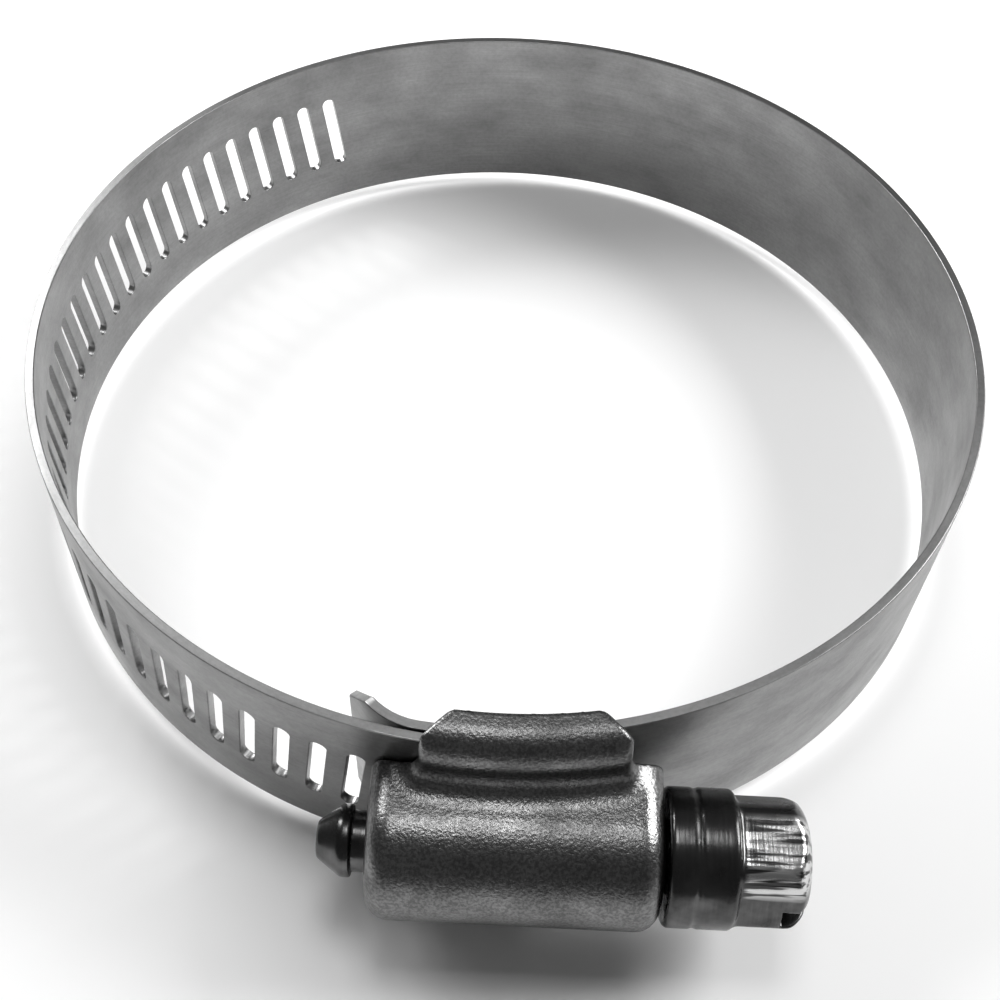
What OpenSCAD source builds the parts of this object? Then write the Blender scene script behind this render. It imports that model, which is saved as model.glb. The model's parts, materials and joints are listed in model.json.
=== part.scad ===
// Worm-drive hose clamp: a perforated steel band, a stamped housing whose feet fold round both
// edges of the band, and a hex-head worm screw that walks the slotted end of the band past the
// plain end.
//
// The clamp lies flat. The origin is the centre of the bore at mid-band, +Z is the bore's axis,
// the housing is on the -Y side and the screw's head points towards +X. The band is sprung strip:
// it is cut here into three rigid lengths, and the two cuts are the pins that it bends about.

/* [Band] */
// Radius of the bore, where the clamp grips
bore_r = 29.4; // [29.4:0.1:29.4]
// Width of the strip, a standard half inch
band_w = 12.7; // [12.7:0.1:12.7]
// Thickness of the strip
band_t = 0.55; // [0.5:0.05:0.55]
// Gap at each cut in the strip
cut_gap = 0.1; // [0.08:0.01:0.12]

/* [Slots] */
// Distance from slot to slot along the strip, and the worm's pitch
pitch = 2.17; // [2.17:0.01:2.17]
// Number of slots
slot_count = 40; // [38:1:40]
// Width of a slot along the strip
slot_w = 0.96; // [0.94:0.01:1.0]
// Length of a slot across the strip
slot_len = 6.2; // [5.4:0.1:6.6]
// Length of the last slot, where the slotted end narrows
last_slot_len = 4.6; // [4:0.1:4.8]
// Angle of the first slot, at the back left
first_slot_a = 120; // [119:0.5:121]

/* [Saddle] */
// How much wider than the bore the plain end's arc is, so that the feet fit inside it
plain_shift = 0.446; // [0.446:0.001:0.446]
// How much wider than the bore the slotted end's arc is, so that it passes over the plain end
tail_shift = 0.684; // [0.684:0.001:0.684]
// X where the tongue starts to bend inwards
tongue_root_x = -3.7; // [-3.8:0.1:-3.6]
// X of the tongue's tip
tongue_tip_x = -7.9; // [-8:0.1:-7.5]
// Radius of the tongue's bend
tongue_bend_r = 6; // [5:0.5:6]
// Slope of the tongue's flat end, against the X axis
tongue_slope = 19.5; // [18:0.5:19.5]
// Size of the tongue's clipped corners
tongue_clip = 1.6; // [1:0.1:2.5]
// X of the slotted end's point
tail_tip_x = 7.9; // [7.5:0.1:8]
// Length of the slotted end's taper
tail_taper = 3.6; // [3:0.1:4]
// Width left at the slotted end's point
tail_point_w = 2.4; // [2:0.1:3]

/* [Screw] */
// Distance from the slotted end's outer face to the screw's axis
axis_rise = 2.4; // [2.38:0.01:2.42]
// Radius of the thread's crest
thread_r = 3.1; // [3:0.05:3.1]
// Radius of the thread's root
root_r = 2.2; // [2.1:0.05:2.2]
// X where the thread runs out, short of the slotted end's solid point
thread_x1 = 4.3; // [4:0.1:4.3]
// Width of a tooth at its root, along the screw
tooth_root_w = 0.78; // [0.7:0.02:0.8]
// Width of a tooth at its crest
tooth_crest_w = 0.4; // [0.3:0.02:0.44]
// Radius of the journal beside the head
head_journal_r = 1.9; // [1.8:0.05:1.9]
// Radius of the journal beside the tip
tip_journal_r = 1.6; // [1.5:0.05:1.6]
// Running clearance of both journals, on the radius
journal_clear = 0.05; // [0.03:0.01:0.08]
// Radius of the crest that retains the tip
tip_crest_r = 1.9; // [1.8:0.05:2]
// Radius of the tip's small flat end
tip_end_r = 0.95; // [0.8:0.05:1.1]
// X of the tip's end
tip_end_x = -8.9; // [-9:0.1:-8.8]
// Radius of the collar under the hex
collar_r = 3.65; // [3.55:0.05:3.65]
// X of the collar's face beside the housing
collar_x = 9.35; // [9.35:0.05:9.45]
// X of the joint between the collar and the hex
hex_x = 13; // [12.9:0.1:13.1]
// X of the hex's outer end
hex_end_x = 16.85; // [16.6:0.05:17]
// Hex size across flats, for a quarter inch nut driver
hex_af = 6.35; // [6.35:0.01:6.35]
// Turn of the hex about the screw's axis at rest
hex_turn = 6; // [0:1:30]
// Width of the screwdriver slot
drive_slot_w = 1.1; // [0.9:0.1:1.2]
// Depth of the screwdriver slot
drive_slot_d = 1.5; // [1.2:0.1:1.8]
// Turn of the screwdriver slot about the screw's axis, against the hex
drive_slot_turn = -9; // [-30:1:30]

/* [Housing] */
// Thickness of the housing's sheet
sheet_t = 0.75; // [0.7:0.05:0.75]
// Outer radius of the barrel over the worm
barrel_r = 3.95; // [3.95:0.05:4]
// X of the barrel's end on the tip side
barrel_x0 = -6.2; // [-6.3:0.1:-6.1]
// X of the barrel's end on the head side
barrel_x1 = 9.2; // [9.1:0.05:9.25]
// X of the feet's end on the tip side
feet_x0 = -3.65; // [-3.7:0.05:-3.6]
// X of the feet's end on the head side
feet_x1 = 7.25; // [7:0.05:7.4]
// Radius of the round where the feet turn over the edges of the strip
feet_round = 1.2; // [0.8:0.1:1.3]
// Radius of the round at the barrel's closed ends
barrel_round = 1; // [0.6:0.1:1.2]
// Play between the housing and the strip
feet_play = 0.1; // [0.1:0.01:0.12]
// How far the feet's lips reach in under the plain end
lip_reach = 1.7; // [1.2:0.1:2.2]
// X where the lips end on the head side
lip_x1 = 5; // [4:0.5:5]

/* [Hidden] */
$fn = 96;
big = 100;
cutter_depth = 6;
half_w = band_w / 2;

// The plain end leaves the bore's circle at angle 0, onto a wider arc that touches it there.
plain_c = [-plain_shift, 0];
plain_arc_r = bore_r + plain_shift;

// The slotted end leaves it at the back left, onto an arc that is wider still.
tail_leave_a = 130;
tail_c = -tail_shift * [cos(tail_leave_a), sin(tail_leave_a)];
tail_arc_r = bore_r + tail_shift;
tail_mid_r = tail_arc_r + band_t / 2;
tail_out_r = tail_arc_r + band_t;
tail_tip_a = 270 + asin((tail_tip_x - tail_c[0]) / tail_mid_r);

// Slots, as angles about the slotted end's own centre.
slot_step_a = pitch / tail_mid_r * 180 / PI;
slot_slant = atan(pitch / (2 * PI * (axis_rise + band_t / 2)));

// The two pins, on the strip's middle line: the second lies half way between two slots, and the
// first is where the line from it through the slotted end's centre meets the back of the ring.
pin_slot = 25.5;
pin2_a = first_slot_a + pin_slot * slot_step_a;
pin2 = tail_c + tail_mid_r * [cos(pin2_a), sin(pin2_a)];
back_dir = -[cos(pin2_a), sin(pin2_a)];
back_dot = tail_c * back_dir;
mid_r = bore_r + band_t / 2;
pin1 = tail_c + (sqrt(back_dot * back_dot + mid_r * mid_r - tail_c * tail_c) - back_dot) * back_dir;
pin1_a = atan2(pin1[1], pin1[0]);
cut1_half_a = cut_gap / 2 / mid_r * 180 / PI;
cut2_half_a = cut_gap / 2 / tail_mid_r * 180 / PI;

// The screw's axis, and the thread's phase, which puts a tooth in the slot nearest the axis.
screw_y = tail_c[1] - tail_out_r - axis_rise;
mesh_slot = round((270 - first_slot_a) / slot_step_a);
mesh_x = tail_c[0] + tail_mid_r * sin(first_slot_a + mesh_slot * slot_step_a - 270);

// Housing: its feet ride just outside the slotted end's outer face.
feet_in_r = tail_out_r + feet_play;
feet_out_r = feet_in_r + sheet_t;
feet_in_z = half_w + feet_play;
lip_x0 = feet_x0 + 0.3;
lip_play = 0.025;
lip_step = 0.05;
lip_in_r = norm([feet_x0, -sqrt(bore_r * bore_r - feet_x0 * feet_x0)] - tail_c) + 0.02;
feet_out_z = feet_in_z + sheet_t;
barrel_in_r = barrel_r - sheet_t;
barrel_foot = axis_rise - feet_play - 0.05;

// Screw: where each length of it starts, from the tip to the head.
tip_crest_x = -7.6;
tip_neck_x = -7.05;
core_x0 = barrel_x0 + sheet_t + 0.1;
core_x1 = barrel_x1 - sheet_t - 0.1;
thread_x0 = core_x0 + 0.9;
collar_edge = 0.35;
hex_edge = 0.9;

// A length of strip bent to an arc about the origin, with its inner face at r. It runs from the
// X axis through the given angle.
module strip_arc(r, sweep) {
    rotate_extrude(angle = sweep)
        translate([r, -half_w])
            square([band_t, band_w]);
}

// Moves to a point on an arc, with +X along the strip, +Z across it and -Y out of its outer face.
module on_strip(p, a) {
    translate([p[0], p[1], 0])
        rotate([0, 0, a - 270])
            children();
}

// Cuts both corners off a strip that ends at the origin and comes from -X.
module corner_cutter(along, across) {
    rotate([90, 0, 0])
        linear_extrude(height = cutter_depth, center = true)
            for (side = [-1, 1])
                polygon([
                    [-along, side * half_w],
                    [0, side * (half_w - across)],
                    [1, side * (half_w - across)],
                    [1, side * (half_w + 1)],
                    [-along, side * (half_w + 1)]
                ]);
}

// One slot's cutter: a long hole with round ends that leans as the thread does.
module slot_cutter(k) {
    a = first_slot_a + k * slot_step_a;
    straight = (k == slot_count - 1 ? last_slot_len : slot_len) - slot_w;
    on_strip(tail_c + tail_mid_r * [cos(a), sin(a)], a)
        rotate([0, slot_slant, 0]) {
            cube([slot_w, 2, straight], center = true);
            for (end = [-1, 1])
                translate([0, 0, end * straight / 2])
                    rotate([90, 0, 0])
                        cylinder(h = 2, d = slot_w, center = true, $fn = 32);
        }
}

// Points along an arc of radius r about c, from angle a0 to angle a1.
function arc_points(c, r, a0, a1) =
    let (steps = ceil(abs(a1 - a0) / 3))
    [for (i = [0:steps]) let (a = a0 + (a1 - a0) * i / steps) c + r * [cos(a), sin(a)]];

// Plan of the plain end beyond the middle of the housing: the last of the wide arc, a bend
// inwards, and the tongue's flat end.
module tongue_plan() {
    root_a = 270 + asin((tongue_root_x - plain_c[0]) / plain_arc_r);
    bend_c = plain_c + (plain_arc_r - tongue_bend_r) * [cos(root_a), sin(root_a)];
    flat_a = 270 - tongue_slope;
    out = [cos(flat_a), sin(flat_a)];
    along = [out[1], -out[0]];
    flat_p = bend_c + tongue_bend_r * out;
    end_p = flat_p + (tongue_tip_x - flat_p[0]) / along[0] * along;
    polygon(concat(
        arc_points(plain_c, plain_arc_r, 270, root_a),
        arc_points(bend_c, tongue_bend_r, root_a, flat_a),
        [end_p, end_p + band_t * out],
        arc_points(bend_c, tongue_bend_r + band_t, flat_a, root_a),
        arc_points(plain_c, plain_arc_r + band_t, root_a, 270)
    ));
}

// The plain end: a quarter of the ring, the liner under the worm, and the tongue beyond it.
module band_plain() {
    color("silver") {
        strip_arc(bore_r, pin1_a - cut1_half_a);
        translate([-plain_shift, 0, 0])
            strip_arc(plain_arc_r, -90);
        difference() {
            translate([0, 0, -half_w])
                linear_extrude(height = band_w)
                    tongue_plan();
            translate([tongue_tip_x, 0, 0])
                mirror([1, 0, 0])
                    translate([0, -bore_r, 0])
                        corner_cutter(tongue_clip, tongue_clip);
        }
    }
}

// The other part of the ring, with the first of the slots.
module band_slotted() {
    color("silver")
        difference() {
            rotate([0, 0, tail_leave_a]) {
                strip_arc(bore_r, pin1_a + cut1_half_a - tail_leave_a);
                translate([-tail_shift, 0, 0])
                    strip_arc(tail_arc_r, pin2_a - cut2_half_a - tail_leave_a);
            }
            for (k = [0:floor(pin_slot)])
                slot_cutter(k);
        }
}

// The slotted end, which passes through the housing over the plain end.
module band_tail() {
    color("silver")
        difference() {
            translate([tail_c[0], tail_c[1], 0])
                rotate([0, 0, pin2_a + cut2_half_a])
                    strip_arc(tail_arc_r, tail_tip_a - pin2_a - cut2_half_a);
            for (k = [ceil(pin_slot):slot_count - 1])
                slot_cutter(k);
            on_strip(tail_c + tail_mid_r * [cos(tail_tip_a), sin(tail_tip_a)], tail_tip_a)
                corner_cutter(tail_taper, half_w - tail_point_w / 2);
        }
}

// Outline points of a round corner of radius r about c, from angle a0 to angle a1.
function corner(c, r, a0, a1) =
    [for (i = [0:8]) let (a = a0 + (a1 - a0) * i / 8) c + r * [cos(a), sin(a)]];

// Section of one foot: over the strip's outer face and round its edge.
module foot_section() {
    polygon(concat(
        [
            [feet_in_r, barrel_in_r],
            [feet_out_r, barrel_in_r]
        ],
        corner([feet_out_r - feet_round, feet_out_z - feet_round], feet_round, 0, 90),
        [
            [lip_in_r, feet_out_z],
            [lip_in_r, feet_in_z],
            [feet_in_r, feet_in_z]
        ]
    ));
}

// Plan of the lip, which lies under the plain end and thins out towards the head. It is set back
// a little from the inner face of the foot.
module lip_plan() {
    intersection() {
        difference() {
            translate(plain_c)
                circle(r = plain_arc_r - lip_play);
            translate(tail_c)
                circle(r = lip_in_r + lip_step);
        }
        translate([lip_x0, -big])
            square([lip_x1 - lip_x0, big]);
    }
}

// One foot: over the strip's edge, with a lip turned in under it.
module foot() {
    feet_a0 = 270 + asin((feet_x0 - tail_c[0]) / feet_in_r);
    feet_a1 = 270 + asin((feet_x1 - tail_c[0]) / feet_in_r);
    translate([tail_c[0], tail_c[1], 0])
        rotate([0, 0, feet_a0])
            rotate_extrude(angle = feet_a1 - feet_a0)
                foot_section();
    translate([0, 0, feet_in_z - lip_reach])
        linear_extrude(height = lip_reach + sheet_t / 2)
            lip_plan();
}

// Moves into the screw's frame: +Z along the screw towards its head, +X towards the band.
module at_screw(x) {
    translate([x, screw_y, 0])
        rotate([90, 0, 90])
            children();
}

// Section of the barrel: half round over the worm, with straight sides down to y = foot.
module barrel_section(r, foot) {
    polygon(concat(
        [for (i = [0:24]) let (a = 90 + 180 * i / 24) r * [cos(a), sin(a)]],
        [[foot, -r], [foot, r]]
    ));
}

// Plan of the barrel, with its four corners rounded.
module barrel_plan() {
    r = barrel_round;
    x0 = barrel_x0 + r;
    x1 = barrel_x1 - r;
    z = barrel_r - r;
    polygon(concat(
        corner([x1, z], r, 0, 90),
        corner([x0, z], r, 90, 180),
        corner([x0, -z], r, 180, 270),
        corner([x1, -z], r, 270, 360)
    ));
}

module barrel() {
    inner_x0 = barrel_x0 + sheet_t;
    inner_len = barrel_x1 - barrel_x0 - 2 * sheet_t;
    difference() {
        intersection() {
            at_screw(barrel_x0)
                linear_extrude(height = barrel_x1 - barrel_x0)
                    barrel_section(barrel_r, barrel_foot);
            translate([0, screw_y + barrel_r, 0])
                rotate([90, 0, 0])
                    linear_extrude(height = 3 * barrel_r)
                        barrel_plan();
        }
        at_screw(inner_x0)
            linear_extrude(height = inner_len)
                barrel_section(barrel_in_r, big);
        at_screw(barrel_x0 - 1)
            cylinder(h = 2 + sheet_t, r = tip_journal_r + journal_clear);
        at_screw(barrel_x1 - sheet_t - 1)
            cylinder(h = 2 + sheet_t, r = head_journal_r + journal_clear);
    }
}

// One stamping: the barrel over the worm, and a foot on each edge of the strip.
module housing() {
    color("gainsboro") {
        foot();
        mirror([0, 0, 1])
            foot();
        barrel();
    }
}

// The thread's section at x, as four points round a tooth that follows the helix.
function tooth_height(x) =
    let (run = pitch / 3)
    min(1, max(0.1, (x - thread_x0) / run), max(0.1, (thread_x1 - x) / run));
function tooth_section(x) =
    let (a = 360 * (x - mesh_x) / pitch, crest = root_r + (thread_r - root_r) * tooth_height(x))
    [
        for (q = [
            [-tooth_root_w / 2, root_r - 0.2],
            [-tooth_crest_w / 2, crest],
            [tooth_crest_w / 2, crest],
            [tooth_root_w / 2, root_r - 0.2]
        ]) [x + q[0], screw_y + q[1] * cos(a), q[1] * sin(a)]
    ];

module thread() {
    steps = ceil((thread_x1 - thread_x0) / pitch * 24);
    points = [
        for (i = [0:steps])
            each tooth_section(thread_x0 + (thread_x1 - thread_x0) * i / steps)
    ];
    faces = [
        [3, 2, 1, 0],
        [for (j = [0:3]) 4 * steps + j],
        for (i = [0:steps - 1], j = [0:3])
            let (a = 4 * i + j, b = 4 * i + (j + 1) % 4)
            each [[a, b, b + 4], [a, b + 4, a + 4]]
    ];
    polyhedron(points = points, faces = faces);
}

// A length of the screw that runs from x0 with radius r0 to x1 with radius r1.
module turned(x0, x1, r0, r1) {
    at_screw(x0)
        cylinder(h = x1 - x0, r1 = r0, r2 = r1);
}

module worm_screw() {
    color("dimgray") {
        turned(tip_end_x, tip_crest_x, tip_end_r, tip_crest_r);
        turned(tip_crest_x, tip_neck_x, tip_crest_r, tip_crest_r);
        turned(tip_neck_x, core_x0, tip_journal_r, tip_journal_r);
        turned(core_x0, core_x1, root_r, root_r);
        thread();
        turned(core_x1, collar_x, head_journal_r, head_journal_r);
        turned(collar_x, collar_x + collar_edge, collar_r - collar_edge, collar_r);
        turned(collar_x + collar_edge, hex_x, collar_r, collar_r);
        difference() {
            intersection() {
                at_screw(hex_x)
                    rotate([0, 0, hex_turn])
                        cylinder(h = hex_end_x - hex_x, d = hex_af / cos(30), $fn = 6);
                union() {
                    turned(hex_x, hex_end_x - hex_edge, hex_af, hex_af);
                    turned(hex_end_x - hex_edge, hex_end_x, hex_af / 2 + hex_edge, hex_af / 2);
                }
            }
            at_screw(hex_end_x)
                rotate([0, 0, hex_turn + drive_slot_turn])
                    cube([hex_af * 2, drive_slot_w, 2 * drive_slot_d], center = true);
        }
    }
}

band_plain();
band_slotted();
band_tail();
housing();
worm_screw();
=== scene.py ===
"""The looks of a worm-drive hose clamp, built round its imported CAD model.

Sizes are in millimetres until a mesh is made. Angles are in degrees about the bore's axis, from
+X towards +Y. A place on the strip is (s, z): s is the distance along its middle line from the
tongue's tip, which rises the whole way to the slotted end's point, and z is the distance across.
"""

import json
import math

import bpy
import numpy as np
from mathutils import Matrix, Vector
from mathutils.geometry import delaunay_2d_cdt


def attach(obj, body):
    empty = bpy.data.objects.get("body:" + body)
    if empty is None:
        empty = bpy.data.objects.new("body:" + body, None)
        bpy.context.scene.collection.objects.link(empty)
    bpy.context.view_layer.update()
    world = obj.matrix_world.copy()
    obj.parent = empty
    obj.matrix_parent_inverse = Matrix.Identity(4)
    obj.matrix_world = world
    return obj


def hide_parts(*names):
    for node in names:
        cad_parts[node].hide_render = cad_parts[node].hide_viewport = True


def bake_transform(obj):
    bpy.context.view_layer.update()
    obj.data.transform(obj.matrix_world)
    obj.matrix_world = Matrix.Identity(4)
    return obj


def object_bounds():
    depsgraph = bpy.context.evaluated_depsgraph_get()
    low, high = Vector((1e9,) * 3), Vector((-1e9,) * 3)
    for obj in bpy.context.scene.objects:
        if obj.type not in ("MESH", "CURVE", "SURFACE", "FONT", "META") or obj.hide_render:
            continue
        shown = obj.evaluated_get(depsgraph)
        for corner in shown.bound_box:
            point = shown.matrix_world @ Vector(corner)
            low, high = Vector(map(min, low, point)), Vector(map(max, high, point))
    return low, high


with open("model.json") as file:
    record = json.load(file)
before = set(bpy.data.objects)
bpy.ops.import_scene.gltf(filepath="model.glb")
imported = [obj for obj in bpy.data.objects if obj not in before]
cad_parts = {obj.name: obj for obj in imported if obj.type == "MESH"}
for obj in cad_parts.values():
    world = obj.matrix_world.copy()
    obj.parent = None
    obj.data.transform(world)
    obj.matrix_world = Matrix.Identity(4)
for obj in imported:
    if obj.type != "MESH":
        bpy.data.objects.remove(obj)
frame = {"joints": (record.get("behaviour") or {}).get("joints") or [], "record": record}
cad_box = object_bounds()

MM = 0.001
MOUNTS = {m["name"]: m for m in frame["record"]["mounts"]}
JOINTS = {j["name"]: j for j in frame["joints"]}

# The strip.
BORE_R = MOUNTS["clamp_bore"]["dims"]["r_mm"]
BAND_W = MOUNTS["clamp_bore"]["dims"]["length_mm"]
BAND_T = 0.55
STRIP_EDGE = 0.07
COLUMN_STEP = 0.5

# The slots, which lean as the thread does.
PITCH = 2.17
SLOT_COUNT = 40
SLOT_W = 0.96
SLOT_LEN = 6.2
LAST_SLOT_LEN = 4.6
FIRST_SLOT_A = 120
SLOT_LEAN = math.radians(7.36)
SEAM_SLOT = 14.5

# The plain end and its tongue.
PLAIN_SHIFT = 0.446
TONGUE_ROOT_X = -3.7
TONGUE_TIP_X = -7.2
TONGUE_BEND_R = 4.0
TONGUE_SLOPE = 52
TONGUE_CLIP = 1.6

# The slotted end.
TAIL_SHIFT = 0.684
TAIL_LEAVE_A = 130
TAIL_TIP_X = 7.9
TAIL_TAPER = 3.6
TAIL_POINT_W = 2.4

# The screw.
SCREW_Y = JOINTS["screw_turn"]["pos_m"][1] / MM
THREAD_R = 3.1
THREAD_X1 = 4.3
ROOT_R = 2.2
TOOTH_ROOT_W = 0.78
TOOTH_CREST_W = 0.4
TIP_JOURNAL_R = 1.6
HEAD_JOURNAL_R = 1.9
TIP_CREST_R = 1.9
TIP_END_R = 0.95
TIP_END_X = -8.9
TIP_CREST_X = -7.6
TIP_NECK_X = -7.05
COLLAR_R = 3.65
COLLAR_X = 9.35
HEX_X = 13.0
HEX_END_X = 16.85
HEX_AF = 6.35
HEX_CORNER_R = 3.53
HEX_DOME_R = 1.8
HEX_TURN = math.radians(6)
DRIVE_SLOT_W = 1.1
DRIVE_SLOT_D = 1.5
DRIVE_SLOT_TURN = math.radians(-9)

# The housing.
SHEET_T = 0.75
BARREL_R = 3.95
BARREL_X0 = -6.2
BARREL_X1 = 9.2
BARREL_ROUND = 1.3
FEET_X0 = -3.65
FEET_X1 = 7.25
FEET_ROUND = 1.8
FEET_PLAY = 0.1
JOURNAL_PLAY = 0.05
LIP_PLAY = 0.025
FEET_TAPER = 1.4
LIP_REACH = 1.7

# The camera: its angles in radians, its place in millimetres and its focal length.
CAMERA_PITCH = 0.9112
CAMERA_ROLL = 0.0496
CAMERA_PLACE = (-0.15, -64.35, 69.69)
CAMERA_LENS = 50.3

HALF_W = BAND_W / 2
CORE_X0 = BARREL_X0 + SHEET_T + 0.1
CORE_X1 = BARREL_X1 - SHEET_T - 0.1


# ---------------------------------------------------------------- the line the strip follows


def ray(angle):
    """Unit vectors in the plane of the ring, at angles in degrees."""
    a = np.radians(angle)
    return np.stack([np.cos(a), np.sin(a)], axis=-1)


def arc(centre, r, a0, a1):
    """A stretch of strip round an arc: its length, and what gives its inner face and outward way."""
    middle = r + BAND_T / 2

    def place(s):
        out = ray(a0 + np.degrees(s / middle))
        return centre + r * out, out

    return math.radians(a1 - a0) * middle, place


def straight(start, end, out):
    """A flat stretch of strip."""
    length = float(np.linalg.norm(end - start))

    def place(s):
        point = start + np.outer(s / length, end - start)
        return point, np.broadcast_to(out, point.shape)

    return length, place


PLAIN_C = np.array([-PLAIN_SHIFT, 0.0])
PLAIN_R = BORE_R + PLAIN_SHIFT
TAIL_C = -TAIL_SHIFT * ray(TAIL_LEAVE_A)
TAIL_R = BORE_R + TAIL_SHIFT
TAIL_MID_R = TAIL_R + BAND_T / 2
TAIL_TIP_A = 270 + math.degrees(math.asin((TAIL_TIP_X - TAIL_C[0]) / TAIL_MID_R))


def route():
    """The whole strip, from the tongue's tip to the slotted end's point."""
    root_a = 270 + math.degrees(math.asin((TONGUE_ROOT_X - PLAIN_C[0]) / PLAIN_R))
    bend_c = PLAIN_C + (PLAIN_R - TONGUE_BEND_R) * ray(root_a)
    flat_a = 270 - TONGUE_SLOPE
    out = ray(flat_a)
    along = np.array([out[1], -out[0]])
    flat_p = bend_c + TONGUE_BEND_R * out
    tip = flat_p + (TONGUE_TIP_X - flat_p[0]) / along[0] * along
    return [
        straight(tip, flat_p, out),
        arc(bend_c, TONGUE_BEND_R, flat_a, root_a),
        arc(PLAIN_C, PLAIN_R, root_a, 360),
        arc(np.zeros(2), BORE_R, 0, TAIL_LEAVE_A),
        arc(TAIL_C, TAIL_R, TAIL_LEAVE_A, TAIL_TIP_A),
    ]


ROUTE = route()
LEAVE_S = sum(length for length, place in ROUTE[:-1])
STRIP_LEN = LEAVE_S + ROUTE[-1][0]


def on_strip(s):
    """Inner face and outward way of the strip at distances s."""
    point = np.zeros((len(s), 2))
    out = np.zeros((len(s), 2))
    begin = 0.0
    for i, (length, place) in enumerate(ROUTE):
        last = i == len(ROUTE) - 1
        here = (s >= begin - 1e-9) & ((s < begin + length - 1e-9) | last)
        if here.any():
            point[here], out[here] = place(s[here] - begin)
        begin += length
    return point, out


def slot_s(k):
    """Distance along the strip of slot k, where 0 is the first."""
    return LEAVE_S + math.radians(FIRST_SLOT_A - TAIL_LEAVE_A) * TAIL_MID_R + k * PITCH


# ---------------------------------------------------------------- meshes


def new_object(name, points, faces, normals=None):
    """A smooth mesh object, from points in millimetres."""
    mesh = bpy.data.meshes.new(name)
    mesh.from_pydata((np.asarray(points) * MM).tolist(), [], faces)
    mesh.shade_smooth()
    if normals is not None:
        mesh.normals_split_custom_set_from_vertices(normals.tolist())
    obj = bpy.data.objects.new(name, mesh)
    bpy.context.scene.collection.objects.link(obj)
    return obj


def set_place(obj, place):
    """Stores each point's place on its piece, in millimetres, for the materials to read."""
    attribute = obj.data.attributes.new("place", "FLOAT_VECTOR", "POINT")
    attribute.data.foreach_set("vector", place.astype(np.float32).ravel())


def slot_reach(k):
    """Half the distance between the two round ends of slot k."""
    length = LAST_SLOT_LEN if k == SLOT_COUNT - 1 else SLOT_LEN
    return (length - SLOT_W) / 2


def slot_outline(k, grow):
    """Points round a slot in (s, z): two round ends on a line that leans."""
    lean = np.array([math.sin(SLOT_LEAN), math.cos(SLOT_LEAN)])
    side = np.array([lean[1], -lean[0]])
    r = SLOT_W / 2 + grow
    points = []
    for end in (1, -1):
        centre = np.array([slot_s(k), 0.0]) + end * slot_reach(k) * lean
        for turn in np.linspace(0, math.pi, 11):
            points.append(centre + end * r * (math.cos(turn) * side + math.sin(turn) * lean))
    return points


def in_slot(s, z, k, grow):
    """True for the points that slot k cuts away."""
    lean = np.array([math.sin(SLOT_LEAN), math.cos(SLOT_LEAN)])
    along = (s - slot_s(k)) * lean[0] + z * lean[1]
    beside = (s - slot_s(k)) * lean[1] - z * lean[0]
    past = np.maximum(np.abs(along) - slot_reach(k), 0)
    return np.hypot(past, beside) < SLOT_W / 2 + grow - 1e-6


def strip_sheet(outline, slots):
    """Flat triangles of a length of strip in (s, z). The outline is a list of (s, half width)."""
    outline_s, outline_half = np.array(outline).T
    count = int((outline_s[-1] - outline_s[0]) / COLUMN_STEP)
    columns = np.unique(np.concatenate([np.linspace(outline_s[0], outline_s[-1], count), outline_s]))
    halves = np.interp(columns, outline_s, outline_half)
    verts = []
    edges = []
    for s, half in zip(columns, halves):
        edges.append((len(verts), len(verts) + 1))
        verts += [Vector((s, -half)), Vector((s, half))]
    for i in range(len(columns) - 1):
        edges += [(2 * i, 2 * i + 2), (2 * i + 1, 2 * i + 3)]
    for k in slots:
        loop = slot_outline(k, STRIP_EDGE)
        first = len(verts)
        verts += [Vector(p) for p in loop]
        edges += [(first + i, first + (i + 1) % len(loop)) for i in range(len(loop))]
    flat, _, triangles, _, _, _ = delaunay_2d_cdt(verts, edges, [], 0, 1e-5)
    flat = np.array([tuple(p) for p in flat])
    triangles = np.array(triangles)
    middle = flat[triangles].mean(axis=1)
    keep = np.abs(middle[:, 1]) < np.interp(middle[:, 0], outline_s, outline_half) - 1e-4
    for k in slots:
        keep &= ~in_slot(middle[:, 0], middle[:, 1], k, STRIP_EDGE)
    triangles = triangles[keep]
    used = np.unique(triangles)
    renumber = np.zeros(len(flat), int)
    renumber[used] = np.arange(len(used))
    return flat[used], renumber[triangles]


def edge_ways(flat, triangles, seam_s):
    """The sheet's boundary: its edges, its points, and how far each point moves to widen by one."""
    directed = np.concatenate([triangles[:, [0, 1]], triangles[:, [1, 2]], triangles[:, [2, 0]]])
    present = {tuple(e) for e in directed.tolist()}
    edges = np.array([e for e in directed.tolist() if (e[1], e[0]) not in present])
    along = flat[edges[:, 1]] - flat[edges[:, 0]]
    out = np.stack([along[:, 1], -along[:, 0]], axis=1)
    out /= np.linalg.norm(out, axis=1)[:, None]
    at_seam = np.all(np.abs(flat[edges][:, :, 0] - seam_s) < 1e-4, axis=1)
    out[at_seam] = 0
    total = np.zeros((len(flat), 2))
    spread = np.zeros(len(flat))
    for column in (0, 1):
        np.add.at(total, edges[:, column], out)
        np.add.at(spread, edges[:, column], np.linalg.norm(out, axis=1))
    points = np.unique(edges)
    total = total[points]
    size = np.linalg.norm(total, axis=1)
    miter = 2 * total / np.maximum(size, 1e-9)[:, None] ** 2 * (spread[points] / 2)[:, None]
    return edges, points, miter


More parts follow.
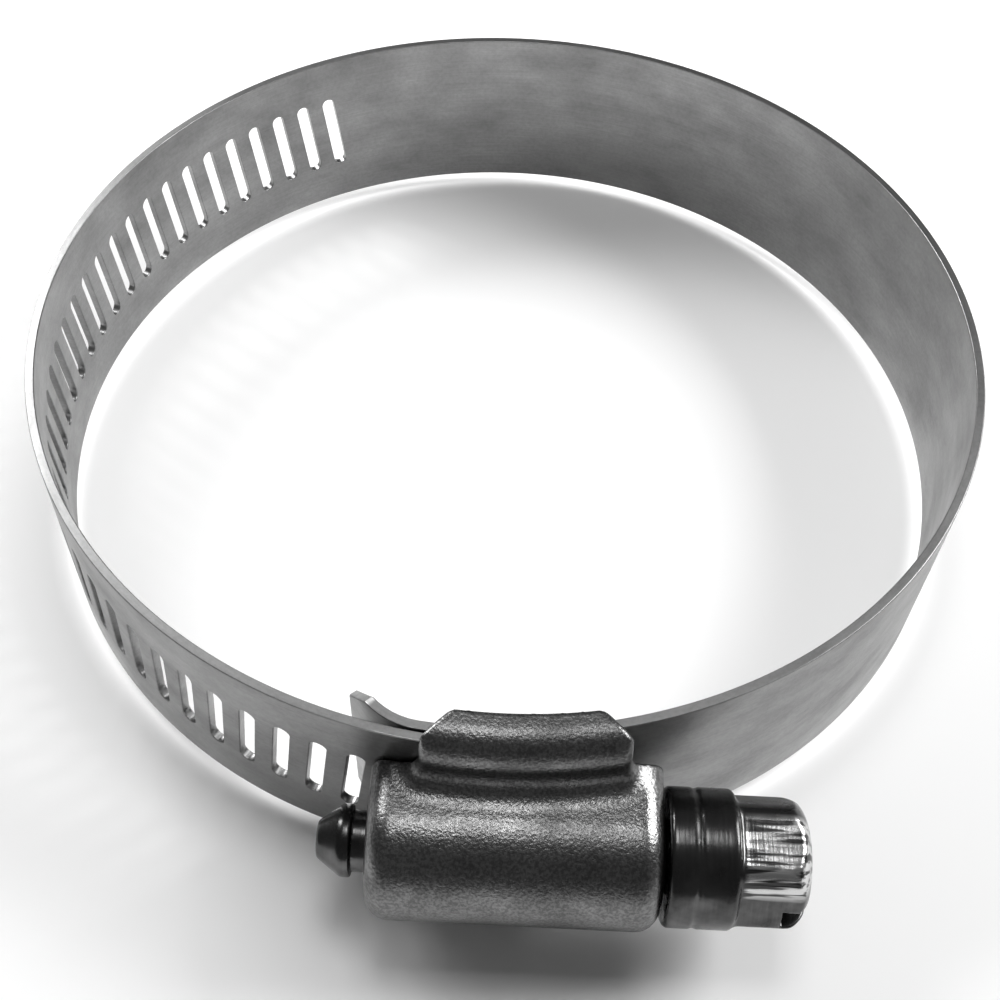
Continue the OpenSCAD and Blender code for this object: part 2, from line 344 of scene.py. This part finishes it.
def strip_piece(name, outline, slots, seam_s):
    """A length of strip as a closed mesh with broken edges and its slots cut through."""
    flat, triangles = strip_sheet(outline, slots)
    edges, rim, miter = edge_ways(flat, triangles, seam_s)
    number = np.zeros(len(flat), int)
    number[rim] = np.arange(len(rim))
    wide = flat[rim] + STRIP_EDGE * miter
    sideways = miter / np.maximum(np.linalg.norm(miter, axis=1), 1e-9)[:, None]

    def lift(places, depth, way=None):
        """Points on the strip at a depth from its inner face, and their normals."""
        point, out = on_strip(np.clip(places[:, 0], 0, STRIP_LEN))
        xyz = np.column_stack([point + depth * out, places[:, 1]])
        if way is None:
            sign = 1 if depth > BAND_T / 2 else -1
            return xyz, np.column_stack([sign * out, np.zeros(len(out))])
        tangent = np.column_stack([-out[:, 1], out[:, 0]])
        return xyz, np.column_stack([way[:, :1] * tangent, way[:, 1]])

    layers = [
        lift(flat, BAND_T),
        lift(flat, 0),
        lift(wide, BAND_T - STRIP_EDGE, sideways),
        lift(wide, STRIP_EDGE, sideways),
    ]
    n, m = len(flat), len(rim)
    faces = triangles.tolist() + (triangles[:, ::-1] + n).tolist()
    for a, b in edges.tolist():
        rings = [
            (a, b),
            (2 * n + number[a], 2 * n + number[b]),
            (2 * n + m + number[a], 2 * n + m + number[b]),
            (n + a, n + b),
        ]
        for (a0, b0), (a1, b1) in zip(rings, rings[1:]):
            faces.append([int(b0), int(a0), int(a1), int(b1)])
    points = np.concatenate([p for p, normal in layers])
    normals = np.concatenate([normal for p, normal in layers])
    obj = new_object(name, points, faces, normals)
    places = np.concatenate([flat, flat, wide, wide])
    depths = np.repeat([BAND_T, 0, BAND_T, 0], [n, n, m, m])
    set_place(obj, np.column_stack([places, depths]))
    return obj


def rounded_cut(a, b, r):
    """What lies inside both shapes, with the edge between them rounded."""
    return np.minimum(np.maximum(a + r, b + r), 0) + np.hypot(
        np.maximum(a + r, 0), np.maximum(b + r, 0)) - r


def blended(a, b, r):
    """What lies inside either shape, with the corner between them filled to about radius r."""
    share = np.clip(0.5 + 0.5 * (b - a) / r, 0, 1)
    return b * (1 - share) + a * share - r * share * (1 - share)


def slope(distance, points, step):
    """Gradient of a distance at points, by small steps each way."""
    columns = []
    for axis in range(3):
        shift = np.zeros(3)
        shift[axis] = step
        columns.append((distance(*(points + shift).T) - distance(*(points - shift).T)) / (2 * step))
    return np.stack(columns, axis=1)


def skin(distance, low, high, step):
    """Points and four-sided faces of the surface where a distance is zero, in a box."""
    axes = [np.arange(a, b + step, step) for a, b in zip(low, high)]
    value = distance(*np.meshgrid(*axes, indexing="ij"))
    inside = value < 0
    cells = tuple(n - 1 for n in value.shape)
    corners = [(i, j, k) for i in (0, 1) for j in (0, 1) for k in (0, 1)]

    def at_corner(grid, corner):
        return grid[tuple(slice(c, c + n) for c, n in zip(corner, cells))]

    filled = sum(at_corner(inside, c).astype(int) for c in corners)
    mixed = (filled > 0) & (filled < 8)
    where = np.argwhere(mixed)
    number = np.full(cells, -1)
    number[mixed] = np.arange(len(where))
    total = np.zeros((len(where), 3))
    crossings = np.zeros(len(where))
    for a in corners:
        for axis in range(3):
            if a[axis]:
                continue
            b = tuple(1 if i == axis else c for i, c in enumerate(a))
            va, vb = at_corner(value, a)[mixed], at_corner(value, b)[mixed]
            crossed = (va < 0) != (vb < 0)
            place = np.tile(np.array(a, float), (len(where), 1))
            place[:, axis] = np.where(crossed, va / np.where(crossed, va - vb, 1), 0)
            total[crossed] += place[crossed]
            crossings += crossed
    points = np.array(low) + step * (where + total / crossings[:, None])
    for _ in range(3):
        grade = slope(distance, points, step / 20)
        size = np.maximum((grade ** 2).sum(axis=1), 0.3)
        move = (distance(*points.T) / size)[:, None] * grade
        points = points - np.clip(move, -step / 2, step / 2)
    faces = []
    for axis in range(3):
        u, v = (axis + 1) % 3, (axis + 2) % 3
        first = [slice(1, -1)] * 3
        first[axis] = slice(0, -1)
        second = list(first)
        second[axis] = slice(1, None)
        near, far = inside[tuple(first)], inside[tuple(second)]
        for leaves, order in ((near & ~far, 1), (~near & far, -1)):
            edge = np.argwhere(leaves) + [0 if i == axis else 1 for i in range(3)]
            ring = []
            for du, dv in ((-1, -1), (0, -1), (0, 0), (-1, 0)):
                cell = edge.copy()
                cell[:, u] += du
                cell[:, v] += dv
                ring.append(number[tuple(cell.T)])
            faces += np.stack(ring, axis=1)[:, ::order].tolist()
    return points, faces


# ---------------------------------------------------------------- the housing and the screw


def housing_distance(x, y, z):
    """Distance to the stamped housing: a barrel drawn over the worm, blended into two feet."""
    across = np.abs(z)
    from_tail = np.hypot(x - TAIL_C[0], y - TAIL_C[1])
    from_plain = np.hypot(x - PLAIN_C[0], y - PLAIN_C[1])
    up = y - SCREW_Y
    side = np.where(up < 0, np.hypot(up, z), across)
    feet_in_r = TAIL_R + BAND_T + FEET_PLAY
    feet_out_r = feet_in_r + SHEET_T
    feet_in_z = HALF_W + FEET_PLAY
    feet_out_z = feet_in_z + SHEET_T
    lip_in_r = math.hypot(FEET_X0 - TAIL_C[0], math.sqrt(BORE_R ** 2 - FEET_X0 ** 2) + TAIL_C[1]) + 0.02

    ends = np.abs(x - (BARREL_X0 + BARREL_X1) / 2) - (BARREL_X1 - BARREL_X0) / 2
    barrel = rounded_cut(side - BARREL_R, ends, BARREL_ROUND)
    inward = np.clip((BORE_R + 1.2 - from_tail) / 1.6, 0, 1)
    feet_ends = np.abs(x - (FEET_X0 + FEET_X1) / 2) - (FEET_X1 - FEET_X0) / 2 + FEET_TAPER * inward
    shoe = rounded_cut(from_tail - feet_out_r, across - feet_out_z, FEET_ROUND)
    shoe = np.maximum(shoe, lip_in_r - from_tail)
    shoe = rounded_cut(shoe, feet_ends, 0.4)
    outside = blended(barrel, shoe, 1.5)

    hollow = rounded_cut(side - BARREL_R + SHEET_T, ends + SHEET_T, BARREL_ROUND - SHEET_T)
    passage = np.maximum(from_tail - feet_in_r, across - feet_in_z)
    lip = np.maximum(from_plain - PLAIN_R + LIP_PLAY, feet_in_z - LIP_REACH - across)
    passage = np.maximum(passage, -lip)
    hollow = blended(hollow, passage, 0.3)
    tip_hole = np.maximum(np.hypot(up, z) - TIP_JOURNAL_R - JOURNAL_PLAY, x)
    head_hole = np.maximum(np.hypot(up, z) - HEAD_JOURNAL_R - JOURNAL_PLAY, -x)
    hollow = np.minimum(hollow, np.minimum(tip_hole, head_hole))
    return rounded_cut(outside, -hollow, 0.08)


def thread_distance(x, up, z, radius):
    """Rough distance to the worm's tooth, which follows a helix."""
    mesh_slot = round(math.radians(270 - FIRST_SLOT_A) * TAIL_MID_R / PITCH)
    mesh_a = math.radians(FIRST_SLOT_A - 270) + mesh_slot * PITCH / TAIL_MID_R
    mesh_x = TAIL_C[0] + TAIL_MID_R * math.sin(mesh_a)
    turn = np.arctan2(z, up) / (2 * math.pi)
    along = (x - mesh_x) / PITCH - turn
    beside = np.abs(along - np.round(along)) * PITCH
    rise = np.clip((radius - ROOT_R) / (THREAD_R - ROOT_R), 0, 1)
    half = (TOOTH_ROOT_W + (TOOTH_CREST_W - TOOTH_ROOT_W) * rise) / 2
    start, stop = CORE_X0 + 0.9, THREAD_X1
    crest = THREAD_R - np.clip((start + PITCH / 2 - x) / PITCH, 0, 1) - np.clip(
        (x - stop + PITCH / 2) / PITCH, 0, 1)
    tooth = rounded_cut(beside - half, radius - crest, 0.08)
    return np.maximum(tooth, np.maximum(start - x, x - stop))


def screw_distance(x, y, z):
    """Distance to the screw: pointed tip, worm, collar and slotted hex head."""
    up = y - SCREW_Y
    radius = np.hypot(up, z)

    def rod(x0, x1, r, edge):
        return rounded_cut(radius - r, np.abs(x - (x0 + x1) / 2) - (x1 - x0) / 2, edge)

    cone = math.atan2(TIP_CREST_R - TIP_END_R, TIP_CREST_X - TIP_END_X)
    tip = rounded_cut(
        (radius - TIP_CREST_R) * math.cos(cone) + (TIP_CREST_X - x) * math.sin(cone),
        rod(TIP_END_X, TIP_NECK_X, TIP_CREST_R, 0.12), 0.1)
    shank = rod(TIP_CREST_X, CORE_X0 + 0.5, TIP_JOURNAL_R, 0.1)
    core = rod(CORE_X0, CORE_X1, ROOT_R, 0.1)
    neck = rod(CORE_X1 - 1, HEX_X, HEAD_JOURNAL_R, 0.1)
    collar = rod(COLLAR_X, HEX_X, COLLAR_R, 0.32)
    groove = np.hypot(radius - COLLAR_R - 0.1, x - (COLLAR_X + HEX_X) / 2 + 0.25) - 0.16
    collar = rounded_cut(collar, -groove, 0.12)
    hexagon = np.full_like(radius, -np.inf)
    for i in range(3):
        b = HEX_TURN + math.radians(30 + 60 * i)
        hexagon = np.maximum(hexagon, np.abs(up * math.cos(b) + z * math.sin(b)) - HEX_AF / 2)
    head = rounded_cut(hexagon, radius - HEX_CORNER_R, 0.2)
    dome = rounded_cut(radius - HEX_CORNER_R - 0.14, x - HEX_END_X, HEX_DOME_R)
    head = np.maximum(rounded_cut(head, dome, 0.12), HEX_X - 0.2 - x)
    slot_a = HEX_TURN + DRIVE_SLOT_TURN
    slot = np.maximum(
        np.abs(z * math.cos(slot_a) - up * math.sin(slot_a)) - DRIVE_SLOT_W / 2,
        HEX_END_X - DRIVE_SLOT_D - x)
    head = rounded_cut(head, -slot, 0.08)
    body = np.minimum(np.minimum(tip, shank), np.minimum(core, neck))
    body = np.minimum(body, thread_distance(x, up, z, radius))
    return np.minimum(body, blended(collar, head, 0.25))


# ---------------------------------------------------------------- materials


def new_material(name, roughness, tint):
    """A metal to build on: its nodes, its shader and its place input."""
    material = bpy.data.materials.new(name)
    material.use_nodes = True
    nodes = material.node_tree.nodes
    shader = nodes["Principled BSDF"]
    shader.inputs["Metallic"].default_value = 1.0
    shader.inputs["Roughness"].default_value = roughness
    shader.inputs["Base Color"].default_value = (*tint, 1)
    place = nodes.new("ShaderNodeAttribute")
    place.attribute_name = "place"
    return material, nodes, material.node_tree.links, shader, place.outputs["Vector"]


def stretched_noise(nodes, links, place, scale, detail=3.0, roughness=0.55):
    """Noise whose grain has its own scale, per millimetre, along each axis of the place."""
    mapping = nodes.new("ShaderNodeMapping")
    mapping.inputs["Scale"].default_value = scale
    noise = nodes.new("ShaderNodeTexNoise")
    noise.inputs["Scale"].default_value = 1.0
    noise.inputs["Detail"].default_value = detail
    noise.inputs["Roughness"].default_value = roughness
    links.new(place, mapping.inputs["Vector"])
    links.new(mapping.outputs["Vector"], noise.inputs["Vector"])
    return noise.outputs["Fac"]


def ramp(nodes, links, value, stops):
    """A grey or a number that follows a value: stops are (position, grey)."""
    node = nodes.new("ShaderNodeValToRGB")
    elements = node.color_ramp.elements
    while len(elements) < len(stops):
        elements.new(0.5)
    for element, (position, grey) in zip(elements, stops):
        element.position = position
        element.color = (grey, grey, grey, 1)
    links.new(value, node.inputs["Fac"])
    return node.outputs["Color"]


def mixed(nodes, links, mode, a, b, share=1.0):
    """Two colours mixed."""
    node = nodes.new("ShaderNodeMix")
    node.data_type = "RGBA"
    node.blend_type = mode
    node.inputs["Factor"].default_value = share
    links.new(a, node.inputs["A"])
    links.new(b, node.inputs["B"])
    return node.outputs["Result"]


def bumped(nodes, links, height, depth, below=None):
    """A bump whose full height is a depth in millimetres."""
    node = nodes.new("ShaderNodeBump")
    node.inputs["Strength"].default_value = 1.0
    node.inputs["Distance"].default_value = depth * MM
    links.new(height, node.inputs["Height"])
    if below is not None:
        links.new(below, node.inputs["Normal"])
    return node.outputs["Normal"]


def strip_metal():
    """Rolled stainless strip: satin, with grain along it, faint clouds and a fine speckle."""
    material, nodes, links, shader, place = new_material("rolled_stainless", 0.36, (0.3, 0.3, 0.3))
    grain = stretched_noise(nodes, links, place, (0.12, 9.0, 1.0), 4.0, 0.7)
    clouds = stretched_noise(nodes, links, place, (0.16, 0.28, 0.5), 3.0, 0.6)
    speckle = stretched_noise(nodes, links, place, (3.2, 3.2, 3.2), 2.0, 0.7)
    tone = ramp(nodes, links, clouds, [(0.3, 0.26), (0.7, 0.37)])
    tone = mixed(nodes, links, "MULTIPLY", tone, ramp(nodes, links, grain, [(0.3, 0.86), (0.7, 1.0)]))
    tone = mixed(nodes, links, "MULTIPLY", tone, ramp(nodes, links, speckle, [(0.35, 0.9), (0.6, 1.0)]))
    links.new(tone, shader.inputs["Base Color"])
    links.new(ramp(nodes, links, clouds, [(0.3, 0.44), (0.7, 0.3)]), shader.inputs["Roughness"])
    normal = bumped(nodes, links, grain, 0.006)
    links.new(bumped(nodes, links, speckle, 0.004, normal), shader.inputs["Normal"])
    return material


def housing_metal():
    """Bright stamped sheet, whose drawn faces have an orange peel."""
    material, nodes, links, shader, place = new_material("stamped_stainless", 0.2, (0.5, 0.5, 0.5))
    peel = stretched_noise(nodes, links, place, (6.0, 6.0, 6.0), 2.0, 0.6)
    clouds = stretched_noise(nodes, links, place, (0.35, 0.35, 0.35), 3.0, 0.6)
    tone = ramp(nodes, links, clouds, [(0.3, 0.14), (0.7, 0.26)])
    tone = mixed(nodes, links, "MULTIPLY", tone, ramp(nodes, links, peel, [(0.4, 0.6), (0.6, 1.0)]))
    links.new(tone, shader.inputs["Base Color"])
    links.new(ramp(nodes, links, clouds, [(0.3, 0.38), (0.7, 0.26)]), shader.inputs["Roughness"])
    links.new(bumped(nodes, links, peel, 0.03), shader.inputs["Normal"])
    return material


def step_along(nodes, links, place, axis, low, high):
    """Nought where the place along an axis is at low, rising to one at high."""
    split = nodes.new("ShaderNodeSeparateXYZ")
    step = nodes.new("ShaderNodeMapRange")
    step.inputs["From Min"].default_value = low
    step.inputs["From Max"].default_value = high
    links.new(place, split.inputs["Vector"])
    links.new(split.outputs[axis], step.inputs["Value"])
    return step.outputs["Result"]


def product(nodes, links, a, b):
    """One number times another."""
    node = nodes.new("ShaderNodeMath")
    node.operation = "MULTIPLY"
    links.new(a, node.inputs[0])
    links.new(b, node.inputs[1])
    return node.outputs["Value"]


def screw_metal():
    """Dark plating over turned steel, with a painted highlight and lengthwise scores on the hexagon's
    top.
    """
    material, nodes, links, shader, place = new_material("dark_plating", 0.2, (0.1, 0.1, 0.1))
    marks = stretched_noise(nodes, links, place, (7.0, 0.4, 0.4), 3.0, 0.6)
    clouds = stretched_noise(nodes, links, place, (0.6, 0.6, 0.6), 3.0, 0.6)
    scores = stretched_noise(nodes, links, place, (0.28, 2.6, 2.6), 2.0, 0.5)
    plated = ramp(nodes, links, clouds, [(0.3, 0.05), (0.7, 0.13)])
    plated = mixed(nodes, links, "MULTIPLY", plated,
                   ramp(nodes, links, marks, [(0.3, 0.8), (0.7, 1.0)]))
    # Painted highlight: a bright, streaked colour on the hexagon's upper flat; the same score marks are
    # also bumped below.
    painted_highlight = ramp(nodes, links, scores, [(0.42, 0.06), (0.5, 0.6)])
    tone = mixed(nodes, links, "MIX", plated, painted_highlight)
    # The patch on the hexagon's upper flat that takes the painted highlight and the score marks.
    highlight_and_score_patch = step_along(nodes, links, place, "X", HEX_X + 0.1, HEX_X + 0.4)
    highlight_and_score_patch = product(nodes, links, highlight_and_score_patch, step_along(nodes, links, place, "Z", 1.4, 1.9))
    highlight_and_score_patch = product(nodes, links, highlight_and_score_patch, step_along(nodes, links, place, "Y", 1.2, 0.7))
    links.new(highlight_and_score_patch, tone.node.inputs["Factor"])
    links.new(tone, shader.inputs["Base Color"])
    links.new(ramp(nodes, links, clouds, [(0.3, 0.3), (0.7, 0.16)]), shader.inputs["Roughness"])
    normal = bumped(nodes, links, marks, 0.006)
    depth = product(nodes, links, scores, highlight_and_score_patch)
    links.new(bumped(nodes, links, depth, 0.05, normal), shader.inputs["Normal"])
    return material


def floor_material():
    """A pale matt floor with the faintest mottle."""
    material = bpy.data.materials.new("pale_floor")
    material.use_nodes = True
    nodes = material.node_tree.nodes
    links = material.node_tree.links
    shader = nodes["Principled BSDF"]
    shader.inputs["Roughness"].default_value = 0.8
    noise = nodes.new("ShaderNodeTexNoise")
    noise.inputs["Scale"].default_value = 30.0
    links.new(ramp(nodes, links, noise.outputs["Fac"], [(0.3, 0.95), (0.7, 0.97)]),
              shader.inputs["Base Color"])
    return material


# ---------------------------------------------------------------- the pieces


def add_strips(material):
    """The strip, as two lengths that meet between two slots."""
    edge = STRIP_EDGE
    half = HALF_W - edge
    seam_s = slot_s(SEAM_SLOT)
    plain = strip_piece("strip_plain_half", [
        (edge, half - TONGUE_CLIP),
        (TONGUE_CLIP + edge, half),
        (seam_s, half),
    ], range(math.ceil(SEAM_SLOT)), seam_s)
    slotted = strip_piece("strip_slotted_half", [
        (seam_s, half),
        (STRIP_LEN - TAIL_TAPER, half),
        (STRIP_LEN - edge, TAIL_POINT_W / 2),
    ], range(math.ceil(SEAM_SLOT), SLOT_COUNT), seam_s)
    for piece in (plain, slotted):
        piece.data.materials.append(material)
    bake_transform(plain)
    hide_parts("band_plain")
    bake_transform(slotted)
    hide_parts("band_slotted", "band_tail")


def add_housing(material):
    low = (BARREL_X0 - 0.3, SCREW_Y - BARREL_R - 0.3, -HALF_W - 1.2)
    high = (BARREL_X1 + 0.3, 1.2 - BORE_R, HALF_W + 1.2)
    points, faces = skin(housing_distance, low, high, 0.125)
    housing = new_object("stamped_housing", points, faces)
    set_place(housing, points)
    housing.data.materials.append(material)
    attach(housing, "fixed_end")
    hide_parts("housing")


def add_screw(material):
    low = (TIP_END_X - 0.3, SCREW_Y - COLLAR_R - 0.4, -COLLAR_R - 0.4)
    high = (HEX_END_X + 0.3, SCREW_Y + COLLAR_R + 0.4, COLLAR_R + 0.4)
    points, faces = skin(screw_distance, low, high, 0.11)
    screw = new_object("screw", points, faces)
    set_place(screw, points - np.array([0, SCREW_Y, 0]))
    screw.data.materials.append(material)
    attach(screw, "screw")
    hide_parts("worm_screw")


# ---------------------------------------------------------------- the studio


def add_floor(low_z):
    mesh = bpy.data.meshes.new("floor")
    size = 1.5
    mesh.from_pydata([(-size, -size, low_z), (size, -size, low_z), (size, size, low_z),
                      (-size, size, low_z)], [], [(0, 1, 2, 3)])
    floor = bpy.data.objects.new("floor", mesh)
    bpy.context.scene.collection.objects.link(floor)
    mesh.materials.append(floor_material())


def add_softbox(name, position, size, power, target=(0, 0, 0)):
    """A square area light, in millimetres, that faces a target."""
    light = bpy.data.lights.new(name, "AREA")
    light.shape = "SQUARE"
    light.size = size * MM
    light.energy = power
    obj = bpy.data.objects.new(name, light)
    place = Vector(position) * MM
    way = Vector(target) * MM - place
    obj.matrix_world = Matrix.Translation(place) @ way.to_track_quat("-Z", "Y").to_matrix().to_4x4()
    bpy.context.scene.collection.objects.link(obj)


def add_studio():
    world = bpy.data.worlds.new("studio")
    world.use_nodes = True
    background = world.node_tree.nodes["Background"]
    background.inputs["Color"].default_value = (1, 1, 1, 1)
    background.inputs["Strength"].default_value = 0.12
    bpy.context.scene.world = world
    bpy.context.scene.view_settings.view_transform = "Standard"
    add_softbox("overhead", (0, 5, 260), 80, 0.16)
    add_softbox("right", (260, 80, 200), 160, 1.15)
    add_softbox("left_back", (-200, 180, 180), 150, 0.9)


def add_camera():
    """The photograph's viewing angle: above the screw's side, rolled a little."""
    right = Vector((1, 0, 0))
    up = Vector((0, math.sin(CAMERA_PITCH), math.cos(CAMERA_PITCH)))
    forward = Vector((0, math.cos(CAMERA_PITCH), -math.sin(CAMERA_PITCH)))
    across = math.cos(CAMERA_ROLL) * right + math.sin(CAMERA_ROLL) * up
    upward = -math.sin(CAMERA_ROLL) * right + math.cos(CAMERA_ROLL) * up
    camera = bpy.data.cameras.new("camera")
    camera.lens = CAMERA_LENS
    camera.sensor_width = 36
    camera.clip_start = 0.005
    obj = bpy.data.objects.new("camera", camera)
    turn = Matrix((across, upward, -forward)).transposed().to_4x4()
    obj.matrix_world = Matrix.Translation(Vector(CAMERA_PLACE) * MM) @ turn
    bpy.context.scene.collection.objects.link(obj)
    bpy.context.scene.camera = obj


add_strips(strip_metal())
add_housing(housing_metal())
add_screw(screw_metal())
add_floor(cad_box[0].z)
add_studio()
add_camera()
